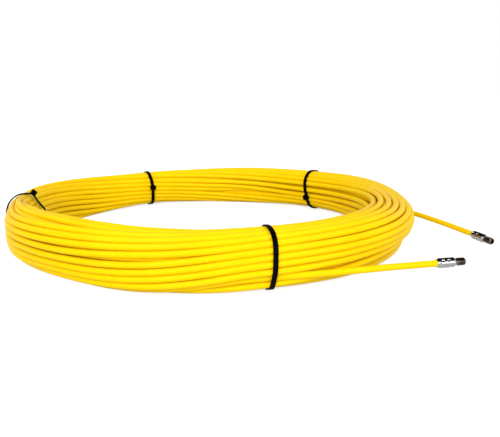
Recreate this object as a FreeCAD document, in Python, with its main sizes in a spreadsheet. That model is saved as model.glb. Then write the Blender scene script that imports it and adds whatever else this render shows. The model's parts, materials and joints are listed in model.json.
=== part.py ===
"""A tied coil of jacketed glass-fibre duct rod with a threaded fitting crimped on each free end.

Frame: millimetres, +Z up. The origin is on the ground, on the coil's axis.
"""
import FreeCAD, Part
import Sketcher
import math
import os

V = FreeCAD.Vector
doc = FreeCAD.newDocument("DuctRod")

# ---------------------------------------------------------------- driving dimensions
SIZES = {
    # the rod: a glass-fibre core in an extruded jacket
    "rod_diameter": 5.0,
    "core_diameter": 3.4,
    # the bundle of turns, from its middle, whose lower turns are fewer abreast than the upper
    "coil_radius": 167.5,
    "lower_shift": 1.0,
    "lower_width": 29.0,
    "lower_rounding": 10.0,
    "upper_width": 37.0,
    "upper_rounding": 14.0,
    "bundle_height": 40.5,
    # the crimp ferrule on each end
    "ferrule_diameter": 7.6,
    "ferrule_length": 15.0,
    "ferrule_chamfer": 1.0,
    "jacket_pocket_depth": 2.5,
    "core_bore_depth": 6.5,
    "bore_clearance": 0.05,
    # the threaded stud, whose plain shank is pressed into the ferrule's front
    "thread_diameter": 6.0,
    "thread_length": 7.0,
    "thread_chamfer": 0.8,
    "end_hole_diameter": 3.6,
    "end_hole_depth": 3.0,
    "neck_diameter": 4.3,
    "neck_length": 1.0,
    "shank_diameter": 4.0,
    "shank_length": 5.0,
    # the cable ties
    "strap_width": 3.6,
    "strap_thickness": 1.2,
    "strap_clearance": 0.4,
    "head_width": 6.4,
    "head_length": 6.0,
    "head_height": 4.6,
    "loose_stand_off": 5.0,
    "loose_lift": 1.0,
}

# What follows from them: the bundle's lowest and highest turns, and the centres of the four
# round corners of its section. The straps pass under the coil, so it lies on their thickness.
WORKED_OUT = {
    "coil_underside": "=strap_thickness + strap_clearance",
    "lower_middle": "=coil_radius + lower_shift",
    "lower_face": "=lower_middle + lower_width / 2",
    "upper_face": "=coil_radius + upper_width / 2",
    "lower_outer_across": "=lower_face - lower_rounding",
    "lower_inner_across": "=lower_middle - lower_width / 2 + lower_rounding",
    "lower_corner_up": "=coil_underside + lower_rounding",
    "upper_outer_across": "=upper_face - upper_rounding",
    "upper_inner_across": "=coil_radius - upper_width / 2 + upper_rounding",
    "upper_corner_up": "=coil_underside + bundle_height - upper_rounding",
}

sheet = doc.addObject("Spreadsheet::Sheet", "Sizes")
for row, (alias, entry) in enumerate([*SIZES.items(), *WORKED_OUT.items()], start=1):
    sheet.set(f"A{row}", alias)
    sheet.set(f"B{row}", str(entry))
    sheet.setAlias(f"B{row}", alias)
doc.recompute()


def size(alias):
    """The value of one driving dimension, in millimetres."""
    return float(sheet.get(alias))


# The straight stretches of a tie's loop that a head can sit on, by their number.
TOP = 1
INNER_SIDE = 2

# Where each tie sits round the coil, in degrees anticlockwise from +X.
FRONT_TIE_ANGLE = -75.0
LEFT_TIE_ANGLE = 186.0
BACK_LEFT_TIE_ANGLE = 114.0
BACK_RIGHT_TIE_ANGLE = 41.0

# How far down the inner side of its loop each tight tie's head sits, from 0 at the top to 1.
FRONT_HEAD_DROP = 0.55
BACK_LEFT_HEAD_DROP = 0.0
BACK_RIGHT_HEAD_DROP = 0.4

# How far across the top of its loop the loose tie's head sits, from 0 outside to 1 inside.
LOOSE_HEAD_PLACE = 0.9

# Where each free end leaves the bundle, in degrees anticlockwise from +X, and its way from
# inside the bundle to the mouth of its ferrule. Each point is how far along the tangent there
# it lies, how far outside the face of the turns that it leaves, and how far above the ground.
FRONT_LEAVES_AT = -77.8
FRONT_LEAD = [
    (0.1, -3.4, 11.0),
    (20.4, -2.7, 11.0),
    (42.8, -2.4, 11.1),
    (69.0, -2.8, 11.2),
    (98.8, -3.7, 11.1),
    (133.4, -3.6, 11.0),
]
BACK_LEAVES_AT = 52.0
BACK_LEAD = [
    (0.0, -3.0, 21.6),
    (24.4, -5.8, 21.2),
    (51.4, -9.2, 20.3),
    (81.9, -12.3, 18.9),
    (126.5, -23.1, 14.9),
    (162.8, -37.9, 11.4),
    (196.7, -60.0, 8.7),
    (216.8, -72.4, 6.6),
]


# ---------------------------------------------------------------- the coil
def origin_plane(body, role):
    """The body's own origin plane that has this role."""
    for feature in body.Origin.OriginFeatures:
        if feature.Role == role:
            return feature
    raise ValueError(role)


def bind(sketch, constraint, alias):
    """Adds a dimension to a sketch and ties it to a value of the spreadsheet."""
    index = sketch.addConstraint(constraint)
    sketch.setExpression(f"Constraints[{index}]", f"1 mm * Sizes.{alias}")


# The bundle's section has four round corners. Each is how far across and how far up its
# centre lies and its rounding, by their names, anticlockwise from the lower outer corner.
CORNERS = [
    ("lower_outer_across", "lower_corner_up", "lower_rounding"),
    ("upper_outer_across", "upper_corner_up", "upper_rounding"),
    ("upper_inner_across", "upper_corner_up", "upper_rounding"),
    ("lower_inner_across", "lower_corner_up", "lower_rounding"),
]


def bundle_circles():
    """The four round corners of the bundle's section, each as centre x, centre z and radius."""
    return [tuple(size(alias) for alias in corner) for corner in CORNERS]


def stretches_round(circles, gap):
    """The straight stretches of a band pulled round the circles this far outside them, each
    as its start and end, in the circles' order."""
    stretches = []
    for (x1, z1, r1), (x2, z2, r2) in zip(circles, circles[1:] + circles[:1]):
        reach = math.hypot(x2 - x1, z2 - z1)
        lean = math.asin((r2 - r1) / reach)
        normal = math.atan2(z2 - z1, x2 - x1) - math.pi / 2 - lean
        outward = V(math.cos(normal), 0, math.sin(normal))
        stretches.append((V(x1, 0, z1) + outward * (r1 + gap), V(x2, 0, z2) + outward * (r2 + gap)))
    return stretches


def make_coil():
    """The outer shape of all the turns: the bundle's section turned about the coil's axis."""
    body = doc.addObject("PartDesign::Body", "rod_coil")
    sketch = body.newObject("Sketcher::SketchObject", "bundle_section")
    sketch.AttachmentSupport = [(origin_plane(body, "XZ_Plane"), "")]
    sketch.MapMode = "FlatFace"

    circles = bundle_circles()
    stretches = stretches_round(circles, 0)
    lines = []
    arcs = []
    for number, (x, z, radius) in enumerate(circles):
        arrive = stretches[number - 1][1]
        leave = stretches[number][0]
        circle = Part.Circle(V(x, z, 0), V(0, 0, 1), radius)
        first = math.atan2(arrive.z - z, arrive.x - x)
        last = math.atan2(leave.z - z, leave.x - x)
        arcs.append(sketch.addGeometry(Part.ArcOfCircle(circle, first, last)))
        start, end = stretches[number]
        lines.append(sketch.addGeometry(Part.LineSegment(V(start.x, start.z, 0), V(end.x, end.z, 0))))

    start, end, centre, origin = 1, 2, 3, -1
    for number, (across, up, rounding) in enumerate(CORNERS):
        arc = arcs[number]
        sketch.addConstraint(Sketcher.Constraint("Tangent", arc, end, lines[number], start))
        sketch.addConstraint(Sketcher.Constraint("Tangent", lines[number - 1], end, arc, start))
        x, z, radius = circles[number]
        bind(sketch, Sketcher.Constraint("DistanceX", origin, start, arc, centre, x), across)
        bind(sketch, Sketcher.Constraint("DistanceY", origin, start, arc, centre, z), up)
        bind(sketch, Sketcher.Constraint("Radius", arc, radius), rounding)

    ring = body.newObject("PartDesign::Revolution", "turns")
    ring.Profile = sketch
    ring.ReferenceAxis = (sketch, ["V_Axis"])
    ring.Angle = 360.0
    body.Tip = ring
    return body


# ---------------------------------------------------------------- the free ends
def placed_lead(points, angle, turning, face):
    """A free end's points, which are given from where it leaves this face of the bundle.
    Turning is 1 where the rod runs on anticlockwise, and -1 where it runs clockwise."""
    outward = V(math.cos(math.radians(angle)), math.sin(math.radians(angle)), 0)
    along = V(0, 0, turning).cross(outward)
    placed = []
    for forward, outside, up in points:
        placed.append(along * forward + outward * (size(face) + outside) + V(0, 0, up))
    return placed


def lead_path(name, points):
    """Straight runs joined by tangent arcs, each as large as its two runs allow."""
    edges = []
    here = points[0]
    for before, corner, after in zip(points, points[1:], points[2:]):
        arriving = (corner - before).normalize()
        leaving = (after - corner).normalize()
        turn = arriving.getAngle(leaving)
        setback = 0.45 * min((corner - before).Length, (after - corner).Length)
        radius = setback / math.tan(turn / 2)
        print(f"{name}: turn {math.degrees(turn):.1f} degrees, radius {radius:.0f} mm")
        start = corner - arriving * setback
        end = corner + leaving * setback
        to_centre = (leaving - arriving).normalize()
        centre = corner + to_centre * (radius / math.cos(turn / 2))
        middle = centre - to_centre * radius
        edges.append(Part.LineSegment(here, start).toShape())
        edges.append(Part.Arc(start, middle, end).toShape())
        here = end
    edges.append(Part.LineSegment(here, points[-1]).toShape())
    return Part.Wire(edges)


def make_lead(name, points):
    """The jacketed rod of one free end, which runs on into the ferrule's pocket."""
    radius = size("rod_diameter") / 2
    along = (points[-1] - points[-2]).normalize()
    jacket_end = points[-1] + along * size("jacket_pocket_depth")
    path = lead_path(name, points[:-1] + [jacket_end])
    circle = Part.Circle(points[0], points[1] - points[0], radius)
    section = Part.Wire([circle.toShape()])
    lead = doc.addObject("Part::Feature", name)
    lead.Shape = path.makePipeShell([section], True, True)
    expected = math.pi * radius ** 2 * path.Length
    print(f"{name}: length {path.Length:.1f} mm, volume {lead.Shape.Volume:.1f}, expected {expected:.1f}")
    assert abs(lead.Shape.Volume - expected) < 0.01 * expected, name
    return lead


# ---------------------------------------------------------------- the end fittings
def add_cylinder(name, diameter, length, start="0"):
    """A cylinder on the fitting's own Z axis, measured from the ferrule's mouth."""
    cylinder = doc.addObject("Part::Cylinder", name)
    cylinder.setExpression("Radius", f"1 mm * ({diameter}) / 2")
    cylinder.setExpression("Height", f"1 mm * ({length})")
    cylinder.setExpression("Placement.Base.z", f"1 mm * ({start})")
    return cylinder


def add_chamfer(name, base, width):
    """Chamfers the round edge at each end of a cylinder."""
    doc.recompute()
    chamfer = doc.addObject("Part::Chamfer", name)
    chamfer.Base = base
    rims = []
    for number, edge in enumerate(base.Shape.Edges, start=1):
        if edge.isClosed() and edge.BoundBox.ZLength < 0.01:
            rims.append((number, width, width))
    chamfer.Edges = rims
    return chamfer


def fitting_placement(points):
    """The frame of the fitting on a free end: its mouth on the rod's end, Z along the rod."""
    along = points[-1] - points[-2]
    return FreeCAD.Placement(points[-1], FreeCAD.Rotation(V(0, 0, 1), along))


def make_ferrule(end, place):
    """The crimped sleeve, bored for the jacket, for the bare core and for the stud's shank."""
    blank = add_cylinder(f"ferrule_blank_{end}", "Sizes.ferrule_diameter", "Sizes.ferrule_length")
    outside = add_chamfer(f"ferrule_outside_{end}", blank, size("ferrule_chamfer"))
    pocket = add_cylinder(f"jacket_pocket_{end}", "Sizes.rod_diameter + 2 * Sizes.bore_clearance",
                          "Sizes.jacket_pocket_depth")
    bore = add_cylinder(f"core_bore_{end}", "Sizes.core_diameter + 2 * Sizes.bore_clearance",
                        "Sizes.jacket_pocket_depth + Sizes.core_bore_depth")
    socket = add_cylinder(f"shank_socket_{end}", "Sizes.shank_diameter + 2 * Sizes.bore_clearance",
                          "Sizes.shank_length", "Sizes.ferrule_length - Sizes.shank_length")
    hollows = doc.addObject("Part::MultiFuse", f"ferrule_hollows_{end}")
    hollows.Shapes = [pocket, bore, socket]
    ferrule = doc.addObject("Part::Cut", f"ferrule_{end}")
    ferrule.Base = outside
    ferrule.Tool = hollows
    ferrule.Placement = place
    return ferrule


def make_core(end, place):
    """The stripped end of the glass-fibre core, from the jacket's cut face to the bore's floor."""
    core = doc.addObject("Part::Cylinder", f"core_{end}")
    core.setExpression("Radius", "1 mm * Sizes.core_diameter / 2")
    core.setExpression("Height", "1 mm * Sizes.core_bore_depth")
    jacket_end = V(0, 0, size("jacket_pocket_depth"))
    core.Placement = place * FreeCAD.Placement(jacket_end, FreeCAD.Rotation())
    return core


def make_stud(end, place):
    """The male end: a plain shank, a relief neck and the threaded head, which is drawn at its
    full diameter and has a blind hole in its end."""
    shank = add_cylinder(f"stud_shank_{end}", "Sizes.shank_diameter", "Sizes.shank_length",
                         "Sizes.ferrule_length - Sizes.shank_length")
    neck = add_cylinder(f"stud_neck_{end}", "Sizes.neck_diameter", "Sizes.neck_length",
                        "Sizes.ferrule_length")
    blank = add_cylinder(f"stud_blank_{end}", "Sizes.thread_diameter", "Sizes.thread_length",
                         "Sizes.ferrule_length + Sizes.neck_length")
    thread = add_chamfer(f"stud_thread_{end}", blank, size("thread_chamfer"))
    turned = doc.addObject("Part::MultiFuse", f"stud_turned_{end}")
    turned.Shapes = [shank, neck, thread]
    hole = add_cylinder(f"stud_hole_{end}", "Sizes.end_hole_diameter", "Sizes.end_hole_depth",
                        "Sizes.ferrule_length + Sizes.neck_length + Sizes.thread_length"
                        " - Sizes.end_hole_depth")
    stud = doc.addObject("Part::Cut", f"stud_{end}")
    stud.Base = turned
    stud.Tool = hole
    stud.Placement = place
    return stud


# ---------------------------------------------------------------- the cable ties
def loop_face(circles, gap):
    """The area inside a band pulled round the circles this far outside them."""
    stretches = stretches_round(circles, gap)
    edges = []
    for number, (x, z, radius) in enumerate(circles):
        arrive = stretches[number - 1][1]
        leave = stretches[number][0]
        centre = V(x, 0, z)
        halfway = ((arrive - centre).normalize() + (leave - centre).normalize()).normalize()
        edges.append(Part.Arc(arrive, centre + halfway * (radius + gap), leave).toShape())
        edges.append(Part.LineSegment(*stretches[number]).toShape())
    return Part.Face(Part.Wire(edges))


def make_tie(name, angle, circles, head_stretch, head_share):
    """A cable tie: the strap's loop in a plane through the coil's axis, and its square head
    on one straight stretch of the loop."""
    clearance = size("strap_clearance")
    thickness = size("strap_thickness")
    width = size("strap_width")
    inside = loop_face(circles, clearance)
    outside = loop_face(circles, clearance + thickness)
    strap = outside.cut(inside).extrude(V(0, width, 0))
    strap.translate(V(0, -width / 2, 0))

    start, end = stretches_round(circles, clearance)[head_stretch]
    along = (end - start).normalize()
    outward = V(0, 1, 0).cross(along)
    length = size("head_length")
    head = Part.makeBox(length, size("head_width"), size("head_height"))
    head.translate(V(-length / 2, -size("head_width") / 2, 0))
    spot = start + (end - start) * head_share
    turned = FreeCAD.Rotation(along, V(0, 1, 0), outward, "ZXY")
    head.Placement = FreeCAD.Placement(spot, turned) * head.Placement

    tie = doc.addObject("Part::Feature", name)
    tie.Shape = strap.fuse(head).removeSplitter()
    tie.Placement = FreeCAD.Placement(V(0, 0, 0), FreeCAD.Rotation(V(0, 0, 1), angle))
    return tie


def make_tight_tie(name, angle, head_drop):
    """A tie pulled up round the bundle, with its head on the inner side."""
    return make_tie(name, angle, bundle_circles(), INNER_SIDE, head_drop)


def make_loose_tie(name, angle):
    """The slack tie: its loop stands off the outside of the bundle, and its head is on top."""
    lower_outer, upper_outer, upper_inner, lower_inner = bundle_circles()
    x, z, radius = upper_outer
    lift = size("loose_lift")
    stood_off = (x + size("loose_stand_off"), z + lift, radius)
    x, z, radius = upper_inner
    raised = (x - lift, z + lift, radius)
    return make_tie(name, angle, [lower_outer, stood_off, raised, lower_inner], TOP, LOOSE_HEAD_PLACE)


# ---------------------------------------------------------------- assembly
ANTICLOCKWISE = 1
CLOCKWISE = -1
free_ends = {
    "front": placed_lead(FRONT_LEAD, FRONT_LEAVES_AT, ANTICLOCKWISE, "lower_face"),
    "back": placed_lead(BACK_LEAD, BACK_LEAVES_AT, CLOCKWISE, "upper_face"),
}
kept = [make_coil()]
for end, points in free_ends.items():
    place = fitting_placement(points)
    kept.append(make_lead(f"rod_lead_{end}", points))
    kept.append(make_core(end, place))
    kept.append(make_ferrule(end, place))
    kept.append(make_stud(end, place))
kept.append(make_tight_tie("tie_front", FRONT_TIE_ANGLE, FRONT_HEAD_DROP))
kept.append(make_tight_tie("tie_back_left", BACK_LEFT_TIE_ANGLE, BACK_LEFT_HEAD_DROP))
kept.append(make_tight_tie("tie_back_right", BACK_RIGHT_TIE_ANGLE, BACK_RIGHT_HEAD_DROP))
kept.append(make_loose_tie("tie_left", LEFT_TIE_ANGLE))
doc.recompute()

for item in doc.Objects:
    assert "Invalid" not in item.State and "Error" not in item.State, item.Label
for part in kept:
    assert not part.Shape.isNull() and part.Shape.isValid(), part.Label
    assert len(part.Shape.Solids) == 1, part.Label

os.makedirs("parts", exist_ok=True)
for part in kept:
    part.Shape.exportStep(f"parts/{part.Label}.step")
    print(f"{part.Label}: {part.Shape.Volume / 1000:.2f} cm3")
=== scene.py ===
# A tied coil of jacketed glass-fibre duct rod, with a threaded fitting on each free end.
# Everything is in metres. +Z is up, and the origin is on the ground, on the coil's axis.
import json
import math

import bpy
import numpy as np
from mathutils import Matrix, Vector

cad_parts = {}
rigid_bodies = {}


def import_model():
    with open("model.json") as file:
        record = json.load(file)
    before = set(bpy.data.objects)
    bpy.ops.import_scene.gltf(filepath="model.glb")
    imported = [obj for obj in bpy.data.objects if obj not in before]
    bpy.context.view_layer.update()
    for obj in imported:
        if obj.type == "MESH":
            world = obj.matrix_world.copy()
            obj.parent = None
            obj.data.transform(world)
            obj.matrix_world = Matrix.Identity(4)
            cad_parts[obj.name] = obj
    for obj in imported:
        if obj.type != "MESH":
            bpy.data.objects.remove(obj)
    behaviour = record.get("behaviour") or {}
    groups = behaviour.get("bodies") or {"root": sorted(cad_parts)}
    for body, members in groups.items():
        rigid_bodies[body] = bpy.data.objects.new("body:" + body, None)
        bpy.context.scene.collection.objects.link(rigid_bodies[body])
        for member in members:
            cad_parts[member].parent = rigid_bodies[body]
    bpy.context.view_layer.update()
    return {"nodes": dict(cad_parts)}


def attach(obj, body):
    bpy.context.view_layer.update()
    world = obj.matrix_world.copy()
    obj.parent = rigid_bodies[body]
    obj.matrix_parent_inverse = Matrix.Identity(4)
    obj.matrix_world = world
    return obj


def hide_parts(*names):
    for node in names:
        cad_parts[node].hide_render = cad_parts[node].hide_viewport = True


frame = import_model()
scene = bpy.context.scene
for node in scene.objects:
    node.select_set(False)


# ---------------------------------------------------------------- the rod
# A springy glass-fibre core in a smooth yellow plastic jacket, 5 mm thick and 50 m long.
# It was wound by hand into one coil, whose turns slip past each other and swap places, so
# they climb the outer face of the bundle on one side of the coil and sink again on the other.
rod_diameter = 0.005
rod_in_ferrule = 0.0025
lower_face = 0.183
upper_face = 0.186
back_leaves_at = math.radians(52.0)
front_leaves_at = math.radians(-77.8)
# The coil is wound in whole turns and a part of one, station by station.
whole_turns = 47
stations = 48
step = 2 * math.pi / stations


def placed_lead(points, angle, turning, face):
    """A free end's points, given from where it leaves this face of the bundle: how far along
    the tangent, how far outside the face and how far above the ground."""
    outward = Vector((math.cos(angle), math.sin(angle), 0))
    along = Vector((0, 0, turning)).cross(outward)
    return [along * f + outward * (face + o) + Vector((0, 0, up)) for f, o, up in points]


front_lead = placed_lead([
    (0.0001, -0.0034, 0.0110),
    (0.0204, -0.0027, 0.0110),
    (0.0428, -0.0024, 0.0111),
    (0.0690, -0.0028, 0.0112),
    (0.0988, -0.0037, 0.0111),
    (0.1334, -0.0036, 0.0110),
], front_leaves_at, 1, lower_face)
back_lead = placed_lead([
    (0.0000, -0.0030, 0.0216),
    (0.0244, -0.0058, 0.0212),
    (0.0514, -0.0092, 0.0192),
    (0.0819, -0.0123, 0.0166),
    (0.1265, -0.0231, 0.0124),
    (0.1628, -0.0379, 0.0096),
    (0.1967, -0.0600, 0.0079),
    (0.2168, -0.0724, 0.0062),
], back_leaves_at, -1, upper_face)

# The section of the bundle: rings of turns from the outside inwards and out again, each given
# as its share of the way out to the bundle's face and where its turns lie round the section,
# in degrees that shrink from the outer side towards the ground. Wider steps leave open grooves.
wound_in = [
    (1.00, [-44, -61, -78, -95, -112, -129, -146, -163]),
    (0.70, [-172, -150, -127, -104, -81, -58]),
    (0.42, [-45, -82, -119, -156, -193, -230, -267, -304, -340]),
    (0.14, [-350, -270, -180]),
    (0.85, [-402, -385]),
    (0.70, [-368, -346, -324, -302, -280, -258, -236, -214, -193]),
    (1.00, [-193, -211, -244, -261, -279, -299]),
    (0.90, [-313]),
    (1.00, [-326, -342, -358, -374, -390]),
]
# Once round the coil the turns slip this share of the way round the section and back again.
slip = 46 / 360
slip_turns_at = math.radians(35)
# Where the ties lie round the coil, in degrees.
tight_ties_at = {"front": -75, "back_left": 114, "back_right": 41}
loose_tie_at = 186
# Stretches where a turn keeps the others further off, so that a dark groove opens beside it:
# the turn's number, where the stretch is and how wide, in degrees, and its share of more room.
wide_turns = [
    (42, 208, 32, 0.42),
    (43, 230, 34, 0.34),
    (44, 215, 30, 0.12),
    (37, 398, 30, 0.9),
    (42, 325, 26, 0.25),
    (46, 275, 28, 0.2),
]


def swell(azimuth, at, width):
    """A smooth rise from 0 to 1 and back round this azimuth, all in degrees but the first."""
    off = (math.degrees(azimuth) - at + 180) % 360 - 180
    return math.exp(-(off / width) ** 2)


def bundle_corners(azimuth):
    """The round corners that the middles of the turns stay inside at this azimuth: each
    is its distance from the axis, its height and its rounding."""
    # The tight ties draw the bundle round. Between the ties its low turns sag onto the ground.
    pull = sum(swell(azimuth, tie, 19) for tie in tight_ties_at.values())
    sag = 0.0014 * (1 - pull - swell(azimuth, loose_tie_at, 9))
    # On the side of the free ends the upper turns spread outwards and slope down, and at the
    # back they sink. Between those places, on the right, the outer ones rise a little.
    spread = swell(azimuth, 338, 40)
    end_slope = swell(azimuth, 345, 18)
    sink = swell(azimuth, 112, 32)
    rise = swell(azimuth, 20, 18)
    # At the loose tie the outer ones slump, and next to it the inner ones ride up on the others
    # to a peak.
    slump = swell(azimuth, 194, 16)
    ride_up = max(swell(azimuth, 205, 18), 1.45 * swell(azimuth, 226, 25))
    peak = swell(azimuth, 199, 14)
    # The low outer turns bulge out at the front, and are tucked in and lifted to the left of it.
    belly = swell(azimuth, 272, 23)
    tuck = swell(azimuth, 232, 14)
    lift = swell(azimuth, 218, 24)
    # On the inside, the low turns fold inwards at the back left, where the upper ones slope
    # away from them, and at the right they are held off the ground.
    fold = swell(azimuth, 143, 23)
    slope = swell(azimuth, 157, 35)
    hold = swell(azimuth, 25, 28)
    # The top itself runs a little up and down.
    crest = (0.0008 * swell(azimuth, 35, 20) - 0.0010 * swell(azimuth, 127, 14)
             + 0.0010 * swell(azimuth, 166, 16))
    lower_outer = (
        0.1730 - 0.0030 * pull + 0.0010 * spread - 0.0002 * lift + 0.0038 * belly - 0.0028 * tuck,
        0.0116 - sag + 0.0019 * pull + 0.0008 * lift,
        0.0075 + 0.0020 * pull)
    upper_outer = (
        0.1720 - 0.0045 * pull + 0.0060 * spread - 0.0045 * slump + 0.0026 * peak,
        0.0285 - 0.0010 * pull - 0.0042 * sink - 0.0030 * slump + 0.0035 * ride_up
        - 0.0028 * end_slope + 0.0014 * rise - 0.0009 * peak + crest,
        0.0115 + 0.0010 * pull - 0.0015 * peak)
    upper_inner = (
        0.1630 + 0.0010 * pull + 0.0010 * spread - 0.0035 * ride_up + 0.0090 * peak + 0.0060 * slope,
        0.0288 - 0.0005 * pull - 0.0030 * sink - 0.0010 * slump + 0.0048 * ride_up + 0.0090 * peak
        - 0.0038 * slope + crest,
        0.0115 + 0.0010 * pull - 0.0025 * ride_up - 0.0065 * peak + 0.0035 * slope)
    lower_inner = (
        0.1640 + 0.0010 * pull + 0.0010 * hold - 0.0085 * fold,
        0.0116 - sag + 0.0033 * pull + 0.0014 * hold - 0.0040 * fold,
        0.0075 + 0.0025 * pull - 0.0040 * fold)
    # The shoulder keeps its place where the upper inner corner moves away from it.
    shoulder = (0.1645, 0.0235, 0.0090)
    return [lower_outer, upper_outer, upper_inner, lower_inner, shoulder]


def round_section(corners):
    """The way round the section, from its outer side over the top and back, as its points and
    how far round each one lies, from 0 to 1. The shoulder is left out of it."""
    lower_outer, upper_outer, upper_inner, lower_inner = corners[:4]
    points = [(lower_outer[0] + lower_outer[2], (lower_outer[1] + upper_outer[1]) / 2)]
    quarters = [(upper_outer, 0), (upper_inner, 90), (lower_inner, 180), (lower_outer, 270)]
    for (x, z, rounding), start in quarters:
        for angle in np.radians(np.linspace(start, start + 90, 9)):
            points.append((x + rounding * math.cos(angle), z + rounding * math.sin(angle)))
    points = np.array(points + points[:1])
    gone = np.concatenate([[0], np.cumsum(np.hypot(*np.diff(points, axis=0).T))])
    return points, gone / gone[-1]


def wind_rod():
    """The middles of all the turns, one after the other, as azimuth, distance and height. Each
    turn starts in its own place in the bundle, and then they push each other apart while the
    rod stays smooth and inside the bundle."""
    # The count of a station starts where the back free end leaves. At both ends of the coil
    # three stations more, and the one before them, are held where the free ends run on.
    last_laid = int((front_leaves_at - back_leaves_at) % (2 * math.pi) / step) + whole_turns * stations
    first, last = -3, last_laid + 3
    held_places = {
        -3: (0.1893, 0.0193),
        -2: (0.1838, 0.0204),
        -1: (0.1819, 0.0212),
        0: (0.1830, 0.0216),
        last_laid: (0.1802, 0.0109),
        last_laid + 1: (0.1799, 0.0110),
        last_laid + 2: (0.1833, 0.01105),
        last_laid + 3: (0.1889, 0.0111),
    }

    # Where every turn lies round the section, and which share of the way out.
    count = np.arange(first, last + 1)
    azimuth = back_leaves_at + step * count
    angles = np.concatenate([ring for share, ring in wound_in]) / 360
    shares = np.concatenate([np.full(len(ring), share) for share, ring in wound_in])
    turn = np.clip(count / stations, 0, len(angles) - 1)
    where = np.interp(turn, np.arange(len(angles)), angles)
    where = (where + slip * np.cos(azimuth - slip_turns_at)) % 1
    share = np.interp(turn, np.arange(len(angles)), shares)

    # The bundle's face at each station: how far out it reaches along each of these normals.
    normals = np.radians(np.arange(0, 360, 10))
    normals = np.stack([np.cos(normals), np.sin(normals)], 1)
    face = np.zeros((len(count), len(normals)))
    middle = np.zeros((len(count), 2))
    place = np.zeros((len(count), 2))
    for station in range(stations):
        corners = bundle_corners(back_leaves_at + step * station)
        points, gone = round_section(corners)
        here = count % stations == station
        face[here] = [max(x * n[0] + z * n[1] + r for x, z, r in corners) for n in normals]
        middle[here] = points.mean(0)
        on_face = np.stack([np.interp(where[here], gone, axis) for axis in points.T], 1)
        place[here] = middle[here] + share[here][:, None] * (on_face - middle[here])

    held = np.zeros(len(count), bool)
    for index, spot in held_places.items():
        place[index - first] = spot
        held[index - first] = True
    free = (~held)[:, None]
    # No turn is wound quite evenly: each wanders by less than a millimetre.
    wander = np.stack([np.sin(1.7 * azimuth + 2.4 * turn), np.sin(2.3 * azimuth - 1.9 * turn)], 1)
    wanted = place + 0.0007 * wander
    outwards = (place - middle) / np.linalg.norm(place - middle, axis=1)[:, None]

    # The turns that pass one station meet there, so they are compared in a grid with a row for
    # each station and a column for each turn. Of two turns, a held one doesn't yield.
    columns = (last + stations) // stations + 1
    cell = count + stations

    def in_grid(values, empty):
        grid = np.full((columns * stations, *values.shape[1:]), empty)
        grid[cell] = values
        return grid.reshape(columns, stations, *values.shape[1:]).swapaxes(0, 1)

    there = in_grid(np.ones(len(count), bool), False)
    both = there[:, :, None] & there[:, None, :] & ~np.eye(columns, dtype=bool)[None]
    weight = in_grid((~held).astype(float), 0.0)
    yields = weight[:, :, None] / np.maximum(weight[:, :, None] + weight[:, None, :], 1e-9)
    room = np.ones(len(count))
    for number, at, width, more in wide_turns:
        room += more * np.exp(-((np.degrees(azimuth) - 360 * number - at) / width) ** 2)
    room = in_grid(room, 1.0)
    # The middles of two turns stay a little more than the rod's thickness apart.
    apart = 0.506 * rod_diameter * (room[:, :, None] + room[:, None, :])

    rounds = 450
    for number in range(rounds):
        # Every turn is drawn to its own place, less and less, and all of them a little outwards.
        left = 1 - number / rounds
        place += (wanted - place) * (0.04 * left ** 2 + 0.003) * free
        place += outwards * 0.00002 * free
        # The rod is springy and smooths its own bends.
        bent = np.zeros_like(place)
        bent[1:-1] = (place[:-2] + place[2:]) / 2 - place[1:-1]
        spring = np.zeros_like(place)
        spring[1:-1] = (bent[:-2] + bent[2:]) / 2 - bent[1:-1]
        place -= spring * (0.3 * left + 0.1) * free
        for again in range(2):
            # Turns that are too close push each other apart.
            grid = in_grid(place, 1e3)
            between = grid[:, :, None] - grid[:, None]
            distance = np.sqrt((between ** 2).sum(3))
            push = np.where(both & (distance < apart), apart - distance, 0)
            shove = (between / np.maximum(distance, 1e-9)[..., None] * (push * yields)[..., None]).sum(2)
            shove /= np.sqrt(np.maximum((push > 0).sum(2), 1))[..., None]
            place += shove.transpose(1, 0, 2).reshape(-1, 2)[cell]
            # What stands out of the bundle goes back in.
            for side in range(2):
                out = place @ normals.T - face
                worst = out.argmax(1)
                amount = np.where(held, 0, np.maximum(out.max(1), 0))
                place -= amount[:, None] * normals[worst]
    inside = (count > 0) & (count <= last_laid)
    return azimuth[inside], place[inside]


def past_end(lead):
    """Where the rod stops in the ferrule, a little further on than this free end."""
    return lead[-1] + (lead[-1] - lead[-2]).normalized() * rod_in_ferrule


# The route runs from the front fitting through the coil to the back one. The curve cuts the
# corners between its control points, so in the coil they stand a little further out.
route = [past_end(front_lead), *reversed(front_lead)]
for azimuth, (distance, height) in reversed(list(zip(*wind_rod()))):
    distance /= 0.75 + 0.25 * math.cos(step)
    route.append(Vector((distance * math.cos(azimuth), distance * math.sin(azimuth), height)))
route += [*back_lead, past_end(back_lead)]

line = bpy.data.curves.new("duct_rod", "CURVE")
line.dimensions = "3D"
spline = line.splines.new("NURBS")
spline.points.add(len(route) - 1)
for control, point in zip(spline.points, route):
    control.co = (*point, 1)
spline.order_u = 3
spline.use_endpoint_u = True
spline.resolution_u = 3
spline.use_smooth = True
line.bevel_depth = rod_diameter / 2
line.bevel_resolution = 4
line.use_fill_caps = True
duct_rod = bpy.data.objects.new("duct_rod", line)
scene.collection.objects.link(duct_rod)


def start_group(name, inputs, outputs):
    """A new shader group with these float inputs and these outputs, each a name and a type."""
    group = bpy.data.node_groups.new(name, "ShaderNodeTree")
    group.interface.new_socket("Vector", in_out="INPUT", socket_type="NodeSocketVector")
    for label, value in inputs.items():
        socket = group.interface.new_socket(label, in_out="INPUT", socket_type="NodeSocketFloat")
        socket.default_value = value
    for label, kind in outputs.items():
        group.interface.new_socket(label, in_out="OUTPUT", socket_type=kind)
    return group, group.nodes.new("NodeGroupInput"), group.nodes.new("NodeGroupOutput")


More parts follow.
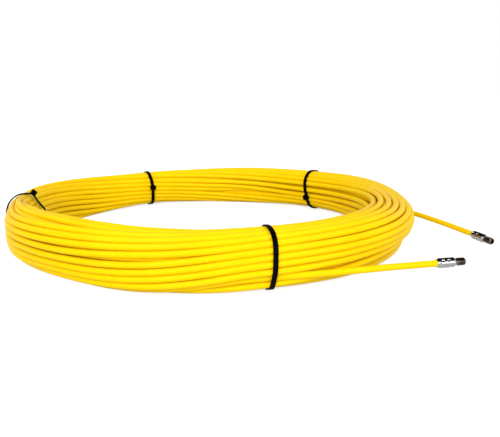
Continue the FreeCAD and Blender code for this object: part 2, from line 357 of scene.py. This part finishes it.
def handling_marks():
    """Smudges where hands have dulled a surface, and fine scuffs where it was dragged."""
    group, given, result = start_group(
        "handling_marks", {"Smudge Size": 0.02, "Scuff Size": 0.004},
        {"Smudges": "NodeSocketFloat", "Scuffs": "NodeSocketFloat"})
    add, link = group.nodes.new, group.links.new
    for label, size, detail, low, high in (("Smudges", "Smudge Size", 3, 0.35, 0.7),
                                           ("Scuffs", "Scuff Size", 6, 0.62, 0.72)):
        spread = add("ShaderNodeVectorMath")
        spread.operation = "SCALE"
        smaller = add("ShaderNodeMath")
        smaller.operation = "DIVIDE"
        smaller.inputs[0].default_value = 1
        link(given.outputs[size], smaller.inputs[1])
        link(given.outputs["Vector"], spread.inputs[0])
        link(smaller.outputs[0], spread.inputs["Scale"])
        noise = add("ShaderNodeTexNoise")
        noise.inputs["Scale"].default_value = 1
        noise.inputs["Detail"].default_value = detail
        noise.inputs["Roughness"].default_value = 0.6
        link(spread.outputs[0], noise.inputs["Vector"])
        ramp = add("ShaderNodeMapRange")
        ramp.inputs["From Min"].default_value = low
        ramp.inputs["From Max"].default_value = high
        link(noise.outputs["Fac"], ramp.inputs["Value"])
        link(ramp.outputs["Result"], result.inputs[label])
    return group


marks_group = handling_marks()
jacket = bpy.data.materials.new("yellow_jacket")
jacket.use_nodes = True
add, link = jacket.node_tree.nodes.new, jacket.node_tree.links.new
shader = jacket.node_tree.nodes["Principled BSDF"]
shader.inputs["IOR"].default_value = 1.12
place = add("ShaderNodeTexCoord")
marks = add("ShaderNodeGroup")
marks.node_tree = marks_group
marks.inputs["Smudge Size"].default_value = 0.03
marks.inputs["Scuff Size"].default_value = 0.003
link(place.outputs["Object"], marks.inputs["Vector"])
colour = add("ShaderNodeMix")
colour.data_type = "RGBA"
colour.inputs["A"].default_value = (0.965, 0.62, 0.001, 1)
colour.inputs["B"].default_value = (0.97, 0.67, 0.002, 1)
link(marks.outputs["Smudges"], colour.inputs["Factor"])
link(colour.outputs["Result"], shader.inputs["Base Color"])
dull = add("ShaderNodeMapRange")
dull.inputs["To Min"].default_value = 0.34
dull.inputs["To Max"].default_value = 0.5
link(marks.outputs["Smudges"], dull.inputs["Value"])
link(dull.outputs["Result"], shader.inputs["Roughness"])
streaks = add("ShaderNodeMapping")
streaks.inputs["Scale"].default_value = (900, 9, 1)
link(place.outputs["UV"], streaks.inputs["Vector"])
drawn = add("ShaderNodeTexNoise")
drawn.inputs["Scale"].default_value = 1
drawn.inputs["Detail"].default_value = 4
link(streaks.outputs["Vector"], drawn.inputs["Vector"])
relief = add("ShaderNodeBump")
relief.inputs["Strength"].default_value = 0.25
relief.inputs["Distance"].default_value = 0.00005
link(drawn.outputs["Fac"], relief.inputs["Height"])
link(relief.outputs["Normal"], shader.inputs["Normal"])
line.materials.append(jacket)

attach(duct_rod, "coil")
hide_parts("rod_coil", "rod_lead_front", "rod_lead_back")


# ---------------------------------------------------------------- the crimped ferrules
# A nickel-plated steel sleeve is pushed over each stripped end of the rod, its mouth is swaged
# down onto the jacket, and two rows of round-nosed punch dents crimp it.
def deselect_all():
    for other in scene.objects:
        other.select_set(False)


def new_piece(name, add_primitive, **sizes):
    """Adds a primitive by itself, names it and opens it for editing."""
    deselect_all()
    add_primitive(**sizes)
    piece = bpy.context.object
    piece.name = name
    piece.data.name = name
    bpy.ops.object.mode_set(mode="EDIT")
    return piece


def pick(piece, kind, wanted):
    """Selects just the faces, edges or vertices of the piece that are wanted."""
    bpy.ops.mesh.select_mode(type=kind)
    bpy.ops.mesh.select_all(action="DESELECT")
    bpy.ops.object.mode_set(mode="OBJECT")
    mesh = piece.data
    for part in {"FACE": mesh.polygons, "EDGE": mesh.edges, "VERT": mesh.vertices}[kind]:
        if kind == "FACE":
            spot = part.center
        elif kind == "EDGE":
            spot = (mesh.vertices[part.vertices[0]].co + mesh.vertices[part.vertices[1]].co) / 2
        else:
            spot = part.co
        part.select = bool(wanted(part, spot))
    bpy.ops.object.mode_set(mode="EDIT")


def is_rim(piece, part, level):
    """Whether an edge lies in the flat end at this level."""
    return all(abs(piece.data.vertices[v].co.z - level) < 1e-6 for v in part.vertices)


ferrule_radius = 0.0038
ferrule_length = 0.015
ferrule_edge = 0.0002
mouth_radius = 0.00275
mouth_taper = 0.0022
mouth_lip = 0.00006
mouth_depth = 0.0024
front_radius = 0.0029
front_taper = 0.0016
front_lip = 0.0006
front_depth = 0.0006
punch_rows = [0.0038, 0.0082]
punches_round = 4
punch_first_at = math.radians(48)
punch_radius = 0.0019
punch_depth = 0.00065


def make_ferrule(name):
    """A sleeve that stands on its mouth at the origin, with its bores and its crimp dents."""
    sleeve = new_piece(name, bpy.ops.mesh.primitive_cylinder_add, vertices=96, radius=ferrule_radius,
                       depth=ferrule_length, location=(0, 0, ferrule_length / 2), end_fill_type="NGON")
    bpy.ops.object.mode_set(mode="OBJECT")
    bpy.ops.object.transform_apply()
    bpy.ops.object.mode_set(mode="EDIT")
    for level, narrowed in ((mouth_taper, mouth_radius), (ferrule_length - front_taper, front_radius)):
        bpy.ops.mesh.select_all(action="SELECT")
        bpy.ops.mesh.bisect(plane_co=(0, 0, level), plane_no=(0, 0, 1))
        end = 0 if level < ferrule_length / 2 else ferrule_length
        pick(sleeve, "VERT", lambda part, spot: abs(spot.z - end) < 1e-6)
        bpy.ops.transform.resize(value=(narrowed / ferrule_radius, narrowed / ferrule_radius, 1))
        for soft in (level, end):
            pick(sleeve, "EDGE", lambda part, spot: is_rim(sleeve, part, soft))
            bpy.ops.mesh.bevel(offset=ferrule_edge, segments=3, affect="EDGES")
    for level, lip, depth in ((0, mouth_lip, mouth_depth), (ferrule_length, front_lip, -front_depth)):
        pick(sleeve, "FACE", lambda part, spot: abs(spot.z - level) < 1e-6 and abs(part.normal.z) > 0.9)
        bpy.ops.mesh.inset(thickness=lip)
        bpy.ops.mesh.extrude_region_move(TRANSFORM_OT_translate={"value": (0, 0, depth)})
    bpy.ops.mesh.select_all(action="SELECT")
    bpy.ops.mesh.normals_make_consistent(inside=False)
    bpy.ops.object.mode_set(mode="OBJECT")
    for row in punch_rows:
        for dent in range(punches_round):
            middle = 2 * math.pi * dent / punches_round + punch_first_at
            reach = ferrule_radius + punch_radius - punch_depth
            deselect_all()
            bpy.ops.mesh.primitive_uv_sphere_add(
                segments=48, ring_count=24, radius=punch_radius,
                location=(reach * math.cos(middle), reach * math.sin(middle), row))
            punch = bpy.context.object
            strike = sleeve.modifiers.new("punch", "BOOLEAN")
            strike.operation = "DIFFERENCE"
            strike.solver = "EXACT"
            strike.object = punch
            bpy.context.view_layer.objects.active = sleeve
            bpy.ops.object.modifier_apply(modifier=strike.name)
            bpy.data.objects.remove(punch)
    deselect_all()
    sleeve.select_set(True)
    bpy.ops.object.shade_smooth_by_angle(angle=math.radians(24))
    return sleeve


def fit_on_end(piece, points):
    """Keeps how the piece was turned as its own coordinates, and puts it on a free end."""
    turned = piece.data.attributes.new("turned", "FLOAT_VECTOR", "POINT")
    for vertex in piece.data.vertices:
        turned.data[vertex.index].vector = vertex.co
    along = (points[-1] - points[-2]).normalized()
    turn = along.to_track_quat("Z", "Y").to_matrix().to_4x4()
    piece.data.transform(Matrix.Translation(points[-1]) @ turn)


def metal(name, colour_low, colour_high, rough_low, rough_high, rings):
    """Plated metal with smudges and the fine rings that turning left on it."""
    finish = bpy.data.materials.new(name)
    finish.use_nodes = True
    add, link = finish.node_tree.nodes.new, finish.node_tree.links.new
    shader = finish.node_tree.nodes["Principled BSDF"]
    shader.inputs["Metallic"].default_value = 1
    place = add("ShaderNodeAttribute")
    place.attribute_name = "turned"
    marks = add("ShaderNodeGroup")
    marks.node_tree = marks_group
    marks.inputs["Smudge Size"].default_value = 0.004
    marks.inputs["Scuff Size"].default_value = 0.0008
    link(place.outputs["Vector"], marks.inputs["Vector"])
    tint = add("ShaderNodeMix")
    tint.data_type = "RGBA"
    tint.inputs["A"].default_value = (*colour_low, 1)
    tint.inputs["B"].default_value = (*colour_high, 1)
    link(marks.outputs["Smudges"], tint.inputs["Factor"])
    link(tint.outputs["Result"], shader.inputs["Base Color"])
    dull = add("ShaderNodeMapRange")
    dull.inputs["To Min"].default_value = rough_low
    dull.inputs["To Max"].default_value = rough_high
    link(marks.outputs["Smudges"], dull.inputs["Value"])
    link(dull.outputs["Result"], shader.inputs["Roughness"])
    wave = add("ShaderNodeTexWave")
    wave.bands_direction = "Z"
    wave.inputs["Scale"].default_value = rings
    wave.inputs["Distortion"].default_value = 1.5
    link(place.outputs["Vector"], wave.inputs["Vector"])
    relief = add("ShaderNodeBump")
    relief.inputs["Strength"].default_value = 0.15
    relief.inputs["Distance"].default_value = 0.00002
    link(wave.outputs["Fac"], relief.inputs["Height"])
    link(relief.outputs["Normal"], shader.inputs["Normal"])
    return finish


nickel = metal("nickel_plate", (0.36, 0.355, 0.35), (0.26, 0.255, 0.25), 0.14, 0.30, 900)
for end, points in (("front", front_lead), ("back", back_lead)):
    sleeve = make_ferrule("crimped_ferrule_" + end)
    fit_on_end(sleeve, points)
    sleeve.data.materials.append(nickel)
    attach(sleeve, "coil")
    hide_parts("ferrule_" + end)


# ---------------------------------------------------------------- the threaded studs
# A plated steel stud is pressed into the front of each ferrule. Behind its M6 thread it has
# a short relief neck, and its end is turned down to a cone round a blind hole.
thread_radius = 0.003
thread_root = 0.00245
thread_pitch = 0.001
thread_length = 0.007
thread_chamfer = 0.0009
end_hole_radius = 0.0018
end_hole_depth = 0.0030
neck_radius = 0.00195
neck_length = 0.001
neck_in_ferrule = 0.0005


def make_blank(start, end):
    """The stud as it was turned before its thread was cut: neck, cones and blind hole. It is a
    little thicker than the thread, so that it leaves the thread's crest alone."""
    over = 0.0002
    blank = new_piece("blank", bpy.ops.mesh.primitive_cylinder_add, vertices=96,
                      radius=thread_radius + over, depth=end - start,
                      location=(0, 0, (start + end) / 2), end_fill_type="NGON")
    bpy.ops.object.mode_set(mode="OBJECT")
    bpy.ops.object.transform_apply()
    bpy.ops.object.mode_set(mode="EDIT")
    for level in (start, end):
        pick(blank, "EDGE", lambda part, spot: is_rim(blank, part, level))
        bpy.ops.mesh.bevel(offset=thread_chamfer + over, segments=1, affect="EDGES")
    bare_end = thread_radius - thread_chamfer
    for level, radius, depth in ((end, end_hole_radius, -end_hole_depth),
                                 (start, neck_radius, -neck_length - neck_in_ferrule)):
        pick(blank, "FACE", lambda part, spot: abs(spot.z - level) < 1e-6 and abs(part.normal.z) > 0.9)
        bpy.ops.mesh.inset(thickness=bare_end - radius)
        bpy.ops.mesh.extrude_region_move(TRANSFORM_OT_translate={"value": (0, 0, depth)})
    bpy.ops.mesh.select_all(action="SELECT")
    bpy.ops.mesh.normals_make_consistent(inside=False)
    bpy.ops.object.mode_set(mode="OBJECT")
    return blank


def make_stud(name):
    """A stud on the same axis as its ferrule: a core with one long ridge wound round it, cut
    down to the shape of the turned blank. The ridge starts before the thread does and runs on
    past it, so that the cut trims it at both ends."""
    start = ferrule_length + neck_length
    end = start + thread_length
    foot = 0.84 * thread_pitch
    crest_share = 0.16
    early = 1.4 * thread_pitch
    spare = 5 * thread_pitch
    ridge = new_piece("ridge", bpy.ops.mesh.primitive_plane_add, size=foot, rotation=(math.pi / 2, 0, 0),
                      location=(thread_radius - foot / 2, 0, start - early))
    bpy.ops.object.mode_set(mode="OBJECT")
    bpy.ops.object.transform_apply()
    bpy.ops.object.mode_set(mode="EDIT")
    pick(ridge, "VERT", lambda part, spot: spot.x > thread_radius - 1e-5)
    bpy.ops.transform.resize(value=(1, 1, crest_share))
    bpy.ops.mesh.select_all(action="SELECT")
    bpy.ops.mesh.delete(type="ONLY_FACE")
    bpy.ops.object.mode_set(mode="OBJECT")
    screw = ridge.modifiers.new("thread", "SCREW")
    screw.screw_offset = thread_pitch
    screw.iterations = round(thread_length / thread_pitch) + 3
    screw.steps = 48
    screw.render_steps = 48
    bpy.ops.object.modifier_apply(modifier=screw.name)
    bpy.ops.object.mode_set(mode="EDIT")
    bpy.ops.mesh.select_all(action="SELECT")
    bpy.ops.mesh.fill_holes(sides=0)
    bpy.ops.mesh.select_all(action="SELECT")
    bpy.ops.mesh.normals_make_consistent(inside=False)
    bpy.ops.object.mode_set(mode="OBJECT")

    blank = make_blank(start, end)
    stud = new_piece(name, bpy.ops.mesh.primitive_cylinder_add, vertices=96, radius=thread_root,
                     depth=end - start + spare, location=(0, 0, (start + end) / 2), end_fill_type="NGON")
    bpy.ops.object.mode_set(mode="OBJECT")
    bpy.ops.object.transform_apply()
    for shape, operation in ((ridge, "UNION"), (blank, "INTERSECT")):
        cut = stud.modifiers.new("cut", "BOOLEAN")
        cut.operation = operation
        cut.solver = "MANIFOLD"
        cut.object = shape
        bpy.ops.object.modifier_apply(modifier=cut.name)
        bpy.data.objects.remove(shape)
    bpy.ops.object.shade_smooth_by_angle(angle=math.radians(24))
    stud.data.materials.clear()
    return stud


dark_nickel = metal("worn_nickel_thread", (0.15, 0.13, 0.105), (0.075, 0.064, 0.052), 0.2, 0.36, 1400)
for end, points in (("front", front_lead), ("back", back_lead)):
    stud = make_stud("threaded_stud_" + end)
    fit_on_end(stud, points)
    stud.data.materials.append(dark_nickel)
    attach(stud, "coil")
    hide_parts("stud_" + end)


# ---------------------------------------------------------------- the bare core
# Inside each ferrule the jacket is stripped from the pale glass-fibre core, whose fibres all
# run along it.
fibre = bpy.data.materials.new("glass_fibre")
fibre.use_nodes = True
add, link = fibre.node_tree.nodes.new, fibre.node_tree.links.new
shader = fibre.node_tree.nodes["Principled BSDF"]
shader.inputs["Roughness"].default_value = 0.55
place = add("ShaderNodeTexCoord")
speckle = add("ShaderNodeTexNoise")
speckle.inputs["Scale"].default_value = 6000
link(place.outputs["Object"], speckle.inputs["Vector"])
shade = add("ShaderNodeMix")
shade.data_type = "RGBA"
shade.inputs["A"].default_value = (0.62, 0.60, 0.46, 1)
shade.inputs["B"].default_value = (0.84, 0.82, 0.68, 1)
link(speckle.outputs["Fac"], shade.inputs["Factor"])
link(shade.outputs["Result"], shader.inputs["Base Color"])
for end in ("front", "back"):
    core = frame["nodes"]["core_" + end]
    core.data.materials.clear()
    core.data.materials.append(fibre)


# ---------------------------------------------------------------- the cable ties
# Three black nylon ties are pulled tight round the bundle, each in a plane through its axis,
# and a fourth hangs slack. The strap's inner face is toothed, and its square head is moulded
# on, with a slot where the cut end of the strap stands against the pawl.
strap_width = 0.0036
strap_thickness = 0.0012
strap_rounding = 0.0003
tooth_pitch = 0.00125
tooth_depth = 0.00035
tooth_groove = 0.8 * tooth_pitch
teeth_reach = 0.00105
rail_reach = 0.00125
head_length = 0.0054
head_width = 0.0058
head_height = 0.0042
head_rounding = 0.0010
rim_width = 0.0004
rim_drop = 0.0003
slot_depth = 0.0011
slot_wall = 0.0007
slot_gap = 0.00012
# The strap's cut end and the pawl in the slot: from where to where along the head, how far each
# stands up from the slot's floor, and how much its far edge rises above that.
in_slot = [
    (-0.0011, 0.0001, 0.0019, 0.0003),
    (0.0004, 0.0013, 0.0007, -0.0004),
]


def black_nylon():
    """Weather-proof black nylon: a little blue, with soft wear on it and lighter scuffs."""
    nylon = bpy.data.materials.new("black_nylon")
    nylon.use_nodes = True
    add, link = nylon.node_tree.nodes.new, nylon.node_tree.links.new
    shader = nylon.node_tree.nodes["Principled BSDF"]
    shader.inputs["IOR"].default_value = 1.1
    place = add("ShaderNodeTexCoord")
    marks = add("ShaderNodeGroup")
    marks.node_tree = marks_group
    marks.inputs["Smudge Size"].default_value = 0.006
    marks.inputs["Scuff Size"].default_value = 0.0012
    link(place.outputs["Object"], marks.inputs["Vector"])
    colour = add("ShaderNodeMix")
    colour.data_type = "RGBA"
    colour.inputs["A"].default_value = (0.0012, 0.0012, 0.0018, 1)
    colour.inputs["B"].default_value = (0.0045, 0.0045, 0.006, 1)
    link(marks.outputs["Scuffs"], colour.inputs["Factor"])
    link(colour.outputs["Result"], shader.inputs["Base Color"])
    dull = add("ShaderNodeMapRange")
    dull.inputs["To Min"].default_value = 0.42
    dull.inputs["To Max"].default_value = 0.6
    link(marks.outputs["Smudges"], dull.inputs["Value"])
    link(dull.outputs["Result"], shader.inputs["Roughness"])
    grain = add("ShaderNodeTexNoise")
    grain.inputs["Scale"].default_value = 2500
    link(place.outputs["Object"], grain.inputs["Vector"])
    relief = add("ShaderNodeBump")
    relief.inputs["Strength"].default_value = 0.2
    relief.inputs["Distance"].default_value = 0.00003
    link(grain.outputs["Fac"], relief.inputs["Height"])
    link(relief.outputs["Normal"], shader.inputs["Normal"])
    return nylon


def make_strap_link():
    """One tooth's length of strap along X: its toothed inner face is at the origin, looking
    along Y, and its outer face is behind it. Its ends are open, to join it to the next one."""
    tooth = new_piece("strap_link", bpy.ops.mesh.primitive_cube_add, size=1,
                      location=(tooth_pitch / 2, -strap_thickness / 2, 0),
                      scale=(tooth_pitch, strap_thickness, strap_width))
    bpy.ops.object.mode_set(mode="OBJECT")
    bpy.ops.object.transform_apply(location=True, rotation=False, scale=True)
    bpy.ops.object.mode_set(mode="EDIT")
    pick(tooth, "EDGE", lambda part, spot: abs(spot.x - tooth_pitch / 2) < 1e-6)
    bpy.ops.mesh.bevel(offset=strap_rounding, segments=3, affect="EDGES")
    for side in (-1, 1):
        for reach in (teeth_reach, rail_reach):
            bpy.ops.mesh.select_all(action="SELECT")
            bpy.ops.mesh.bisect(plane_co=(0, 0, side * reach), plane_no=(0, 0, 1))
    bpy.ops.mesh.select_all(action="SELECT")
    bpy.ops.mesh.bisect(plane_co=(tooth_groove, 0, 0), plane_no=(1, 0, 0))
    pick(tooth, "VERT", lambda part, spot: spot.y > -1e-6 and abs(spot.z) < teeth_reach + 1e-5
         and abs(spot.x - tooth_groove) < 1e-6)
    bpy.ops.transform.translate(value=(0, -tooth_depth, 0))
    pick(tooth, "FACE", lambda part, spot: abs(part.normal.x) > 0.99
         and min(abs(spot.x), abs(spot.x - tooth_pitch)) < 1e-6)
    bpy.ops.mesh.delete(type="FACE")
    bpy.ops.object.mode_set(mode="OBJECT")
    return tooth


def make_tie_head():
    """The head, with the strap's way through it along X and its outer face up: a rounded block
    with a soft rim, a slot in its face, and the cut end and the pawl standing in the slot."""
    slot_floor = head_height - slot_depth
    head = new_piece("tie_head", bpy.ops.mesh.primitive_cube_add, size=1,
                     location=(0, 0, head_height / 2), scale=(head_length, head_width, head_height))
    bpy.ops.object.mode_set(mode="OBJECT")
    bpy.ops.object.transform_apply(location=True, rotation=False, scale=True)
    bpy.ops.object.mode_set(mode="EDIT")
    pick(head, "EDGE", lambda part, spot: abs(spot.z - head_height / 2) < 1e-6)
    bpy.ops.mesh.bevel(offset=head_rounding, segments=3, affect="EDGES")
    pick(head, "FACE", lambda part, spot: part.normal.z > 0.9)
    bpy.ops.mesh.inset(thickness=rim_width)
    pick(head, "EDGE", lambda part, spot: is_rim(head, part, head_height)
         and max(abs(spot.x) - head_length / 2, abs(spot.y) - head_width / 2) > -rim_width + 0.0001)
    bpy.ops.transform.translate(value=(0, 0, -rim_drop))
    pick(head, "FACE", lambda part, spot: part.normal.z > 0.99 and abs(spot.x) < 1e-4)
    bpy.ops.mesh.inset(thickness=slot_wall)
    bpy.ops.mesh.extrude_region_move(TRANSFORM_OT_translate={"value": (0, 0, -slot_depth)})
    for cut in [edge for low, high, rise, slope in in_slot for edge in (low, high)]:
        pick(head, "FACE", lambda part, spot: part.normal.z > 0.99 and spot.z < slot_floor + 0.0002)
        bpy.ops.mesh.bisect(plane_co=(cut, 0, 0), plane_no=(1, 0, 0))
    for low, high, rise, slope in in_slot:
        pick(head, "FACE", lambda part, spot: part.normal.z > 0.99 and low < spot.x < high
             and spot.z < slot_floor + 0.0002)
        bpy.ops.mesh.inset(thickness=slot_gap)
        bpy.ops.mesh.extrude_region_move(TRANSFORM_OT_translate={"value": (0, 0, rise)})
        pick(head, "VERT", lambda part, spot: abs(spot.x - high) < 0.0002 and abs(spot.y) < 0.0021
             and abs(spot.z - slot_floor - rise) < 1e-5)
        bpy.ops.transform.translate(value=(0, 0, slope))
    bpy.ops.object.mode_set(mode="OBJECT")
    return head


bundle_middle = (0.168, 0.020)


def make_tie(name, angle, lean, turn, loop, body, node):
    """A tie whose strap's inner face follows the loop, a closed ring of points out from the
    axis and up that starts under the head. About the middle of the bundle it leans sideways
    and is turned aslant. It is laid out flat first, and then stood up at its angle."""
    path = [Vector(point) for point in loop] + [Vector(loop[0])]
    length = sum((b - a).length for a, b in zip(path, path[1:]))
    curve = bpy.data.curves.new(name + "_path", "CURVE")
    curve.dimensions = "3D"
    curve.twist_mode = "Z_UP"
    spline = curve.splines.new("BEZIER")
    spline.bezier_points.add(len(path) - 1)
    for point, (x, y) in zip(spline.bezier_points, path):
        point.co = (x, y, 0)
        point.handle_left_type = "AUTO"
        point.handle_right_type = "AUTO"
    track = bpy.data.objects.new(name + "_path", curve)
    scene.collection.objects.link(track)

    strap = strap_link.copy()
    strap.data = strap_link.data.copy()
    scene.collection.objects.link(strap)
    deselect_all()
    strap.select_set(True)
    bpy.context.view_layer.objects.active = strap
    teeth = round(length / tooth_pitch)
    for vertex in strap.data.vertices:
        vertex.co.x *= length / teeth / tooth_pitch
    repeat = strap.modifiers.new("teeth", "ARRAY")
    repeat.count = teeth
    repeat.use_merge_vertices = True
    repeat.merge_threshold = 1e-5
    bpy.ops.object.modifier_apply(modifier=repeat.name)
    bend = strap.modifiers.new("bend", "CURVE")
    bend.object = track
    bpy.ops.object.modifier_apply(modifier=bend.name)
    bpy.data.objects.remove(track)

    head = tie_head.copy()
    head.data = tie_head.data.copy()
    scene.collection.objects.link(head)
    along = (path[1] - path[-2]).normalized()
    outward = Vector((along.y, -along.x))
    head.data.transform(Matrix((
        (along.x, 0, outward.x, path[0].x),
        (along.y, 0, outward.y, path[0].y),
        (0, -1, 0, 0),
        (0, 0, 0, 1))))
    head.select_set(True)
    bpy.ops.object.join()
    tie = bpy.context.object
    tie.name = name
    tie.data.name = name
    middle = Vector((*bundle_middle, 0))
    tie.data.transform(Matrix.Translation(middle) @ Matrix.Rotation(lean, 4, "X")
                       @ Matrix.Rotation(turn, 4, "Y") @ Matrix.Translation(-middle))
    tie.data.transform(Matrix((
        (math.cos(angle), 0, math.sin(angle), 0),
        (math.sin(angle), 0, -math.cos(angle), 0),
        (0, 1, 0, 0),
        (0, 0, 0, 1))))
    bpy.ops.object.mode_set(mode="EDIT")
    bpy.ops.mesh.select_all(action="SELECT")
    bpy.ops.mesh.remove_doubles(threshold=1e-6)
    bpy.ops.mesh.normals_make_consistent(inside=False)
    bpy.ops.object.mode_set(mode="OBJECT")
    bpy.ops.object.shade_smooth_by_angle(angle=math.radians(35))
    tie.data.materials.append(nylon)
    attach(tie, body)
    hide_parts(node)


strap_gap = 0.0002
point_spacing = 0.001


def turns_at(angle):
    """Where the laid rod crosses the plane at this angle, out from the axis and up."""
    outward = Vector((math.cos(angle), math.sin(angle), 0))
    across = Vector((-math.sin(angle), math.cos(angle), 0))
    laid = []
    for before, here, after in zip(route, route[1:], route[2:]):
        laid += [(before + here) / 2, (before + 6 * here + after) / 8]
    found = []
    for start, end in zip(laid, laid[1:]):
        low, high = start.dot(across), end.dot(across)
        if low * high < 0 and start.dot(outward) > 0:
            spot = start.lerp(end, low / (low - high))
            found.append((spot.dot(outward), spot.z))
    return np.array(found)


def band_round(centres, head_at):
    """The ring of points that a strap pulled round these turns passes through, starting at
    the one nearest to the head. The strap is stiff, so it rounds its corners off."""
    ways = np.radians(np.arange(0, 361, 4))
    toward = np.stack([np.cos(ways), np.sin(ways)], 1)
    hull = centres[(toward @ centres.T).argmax(1)] + (rod_diameter / 2 + strap_gap) * toward
    gone = np.concatenate([[0], np.cumsum(np.hypot(*np.diff(hull, axis=0).T))])
    even = np.linspace(0, gone[-1], round(gone[-1] / point_spacing), endpoint=False)
    ring = np.stack([np.interp(even, gone, axis) for axis in hull.T], 1)
    for again in range(3):
        ring = (np.roll(ring, 1, 0) + ring + np.roll(ring, -1, 0)) / 3
    start = np.abs(ring - head_at).sum(1).argmin()
    return np.roll(ring, -start, 0)[::2].tolist()


nylon = black_nylon()
strap_link = make_strap_link()
tie_head = make_tie_head()
# Where each head sits on the inside of the bundle, out from the axis and up, and how many
# degrees its tie leans and is turned aslant.
heads_at = {"front": (0.152, 0.014), "back_left": (0.149, 0.024), "back_right": (0.152, 0.016)}
tie_slants = {"front": (-3.5, -2), "back_left": (-4, 0), "back_right": (-3.5, 6)}
for name, degrees in tight_ties_at.items():
    angle = math.radians(degrees)
    lean, turn = (math.radians(slant) for slant in tie_slants[name])
    make_tie("cable_tie_" + name, angle, lean, turn, band_round(turns_at(angle), heads_at[name]),
             "coil", "tie_" + name)
# The slack strap's loop runs from under its head, which is on top, down the inside of the
# bundle, under it and up its outside.
loose_loop = [
    (0.1605, 0.0440), (0.1556, 0.0358), (0.1508, 0.0290), (0.1482, 0.0180), (0.1490, 0.0075),
    (0.1540, 0.0026), (0.1650, 0.0016), (0.1760, 0.0018), (0.1822, 0.0052), (0.1846, 0.0130),
    (0.1849, 0.0230), (0.1838, 0.0316), (0.1800, 0.0387), (0.1740, 0.0432), (0.1670, 0.0444),
]
make_tie("cable_tie_loose", math.radians(loose_tie_at), 0, 0, loose_loop, "loose_tie", "tie_left")
for pattern in (strap_link, tie_head):
    bpy.data.objects.remove(pattern)


# ---------------------------------------------------------------- the studio
# White paper runs on past the view under two soft lamps and a pale surround, and a black card
# hangs overhead for the bright metal to reflect.
def seen_straight(tree):
    """A mask that is 1 for what the view shows straight, in a mirror or through glass."""
    ray = tree.nodes.new("ShaderNodeLightPath")
    seen = ray.outputs["Is Camera Ray"]
    for other in ("Is Glossy Ray", "Is Transmission Ray"):
        either = tree.nodes.new("ShaderNodeMath")
        either.operation = "MAXIMUM"
        tree.links.new(seen, either.inputs[0])
        tree.links.new(ray.outputs[other], either.inputs[1])
        seen = either.outputs[0]
    return seen


def stage_plane(name, size, place, colour, turn=(0, 0, 0)):
    """A plain sheet of the studio, with its material."""
    bpy.ops.mesh.primitive_plane_add(size=size, location=place, rotation=turn)
    sheet = bpy.context.object
    sheet.name = name
    finish = bpy.data.materials.new(name)
    finish.use_nodes = True
    shader = finish.node_tree.nodes["Principled BSDF"]
    shader.inputs["Base Color"].default_value = (*colour, 1)
    shader.inputs["Roughness"].default_value = 0.9
    shader.inputs["Specular IOR Level"].default_value = 0
    sheet.data.materials.append(finish)
    return sheet


floor = stage_plane("floor", 8, (0, 1, 0), (0.55, 0.55, 0.55))
paper = floor.data.materials[0].node_tree
glow = paper.nodes.new("ShaderNodeMath")
glow.operation = "MULTIPLY"
glow.inputs[1].default_value = 0.75
paper.links.new(seen_straight(paper), glow.inputs[0])
paper.nodes["Principled BSDF"].inputs["Emission Color"].default_value = (1, 1, 1, 1)
paper.links.new(glow.outputs[0], paper.nodes["Principled BSDF"].inputs["Emission Strength"])
card = stage_plane("black_card", 2.6, (0.1, 0.2, 0.9), (0.01, 0.01, 0.01))
card.visible_diffuse = False
card.visible_shadow = False

world = bpy.data.worlds.new("studio")
scene.world = world
world.use_nodes = True
surround = world.node_tree
strength = surround.nodes.new("ShaderNodeMix")
strength.data_type = "FLOAT"
strength.inputs["A"].default_value = 0.72
strength.inputs["B"].default_value = 1.0
surround.links.new(seen_straight(surround), strength.inputs["Factor"])
surround.nodes["Background"].inputs["Color"].default_value = (1, 1, 1, 1)
surround.links.new(strength.outputs["Result"], surround.nodes["Background"].inputs["Strength"])


def add_lamp(name, place, target, size, watts):
    """A square soft lamp that points at the target."""
    lamp = bpy.data.lights.new(name, "AREA")
    lamp.size = size
    lamp.energy = watts
    holder = bpy.data.objects.new(name, lamp)
    scene.collection.objects.link(holder)
    holder.location = place
    holder.rotation_euler = (Vector(target) - Vector(place)).to_track_quat("-Z", "Y").to_euler()


add_lamp("key", (-0.6, -1.7, 0.8), (0, 0, 0), 1.0, 22)
add_lamp("fill", (1.5, -1.5, 0.6), (0, 0, 0), 1.0, 13.5)

camera = bpy.data.cameras.new("camera")
camera.sensor_fit = "HORIZONTAL"
camera.sensor_width = 36
camera.lens = 42.85
camera.shift_x = 0.0914
camera.shift_y = -0.0098
camera.clip_start = 0.01
viewer = bpy.data.objects.new("camera", camera)
scene.collection.objects.link(viewer)
viewer.location = (0, -0.56305, 0.13915)
looked_at = Vector((0, 0, 0.0196))
look = (looked_at - viewer.location).to_track_quat("-Z", "Y")
roll = Matrix.Rotation(-0.016, 3, "Z")
viewer.rotation_euler = (look.to_matrix() @ roll).to_euler()
scene.camera = viewer
scene.view_settings.view_transform = "Standard"
